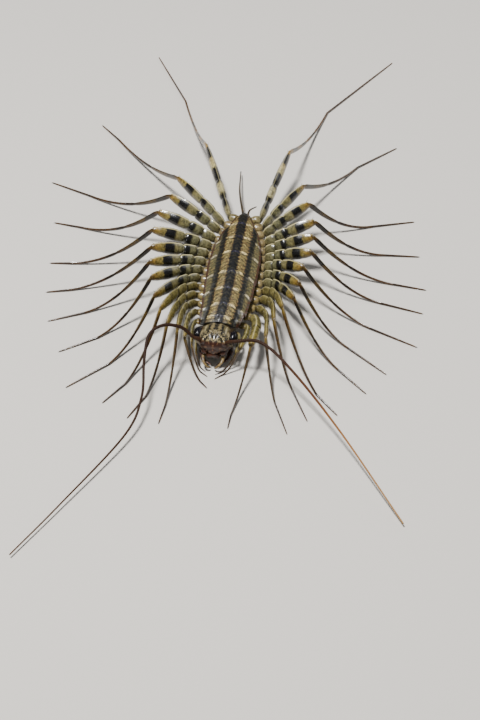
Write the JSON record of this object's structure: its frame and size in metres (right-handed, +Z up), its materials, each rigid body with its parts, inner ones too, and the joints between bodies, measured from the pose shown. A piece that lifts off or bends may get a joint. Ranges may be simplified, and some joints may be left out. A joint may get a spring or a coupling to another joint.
{
  "type": "house centipede",
  "caption": "Still life-size model of a house centipede with raised back plates, long spread legs and two long feelers.",
  "frame": {"origin": "centre of the bounding box in plan, on the plane that the feet rest on", "axes": "+Z up, +Y towards the tail along the body, +X towards the animal's own left side"},
  "size_m": [0.0972, 0.1906, 0.013],
  "materials": {
    "back_plate": "satin olive-tan shell with black stripes",
    "head_shell": "satin mottled brown shell",
    "eye": "glossy violet-black facets",
    "leg": "satin olive shell with black bands",
    "feeler": "fine ringed brown shell",
    "poison_claw": "satin rust-brown shell",
    "tail_end": "satin dark brown shell"
  },
  "bodies": {
    "root": {"antenna_left_base": "feeler", "antenna_left_whip": "feeler", "antenna_right_base": "feeler", "antenna_right_whip": "feeler", "eye_left": "eye", "eye_right": "eye", "forcipule_left": "poison_claw", "forcipule_right": "poison_claw", "head": "head_shell", "leg_left_01": "leg", "leg_left_02": "leg", "leg_left_03": "leg", "leg_left_04": "leg", "leg_left_05": "leg", "leg_left_06": "leg", "leg_left_07": "leg", "leg_left_08": "leg", "leg_left_09": "leg", "leg_left_10": "leg", "leg_left_11": "leg", "leg_left_12": "leg", "leg_left_13": "leg", "leg_left_14": "leg", "leg_left_15": "leg", "leg_right_01": "leg", "leg_right_02": "leg", "leg_right_03": "leg", "leg_right_04": "leg", "leg_right_05": "leg", "leg_right_06": "leg", "leg_right_07": "leg", "leg_right_08": "leg", "leg_right_09": "leg", "leg_right_10": "leg", "leg_right_11": "leg", "leg_right_12": "leg", "leg_right_13": "leg", "leg_right_14": "leg", "leg_right_15": "leg", "tail": "tail_end", "trunk_1": "back_plate", "trunk_2": "back_plate", "trunk_3": "back_plate", "trunk_4": "back_plate", "trunk_5": "back_plate", "trunk_6": "back_plate", "trunk_7": "back_plate"}
  },
  "joints": []
}
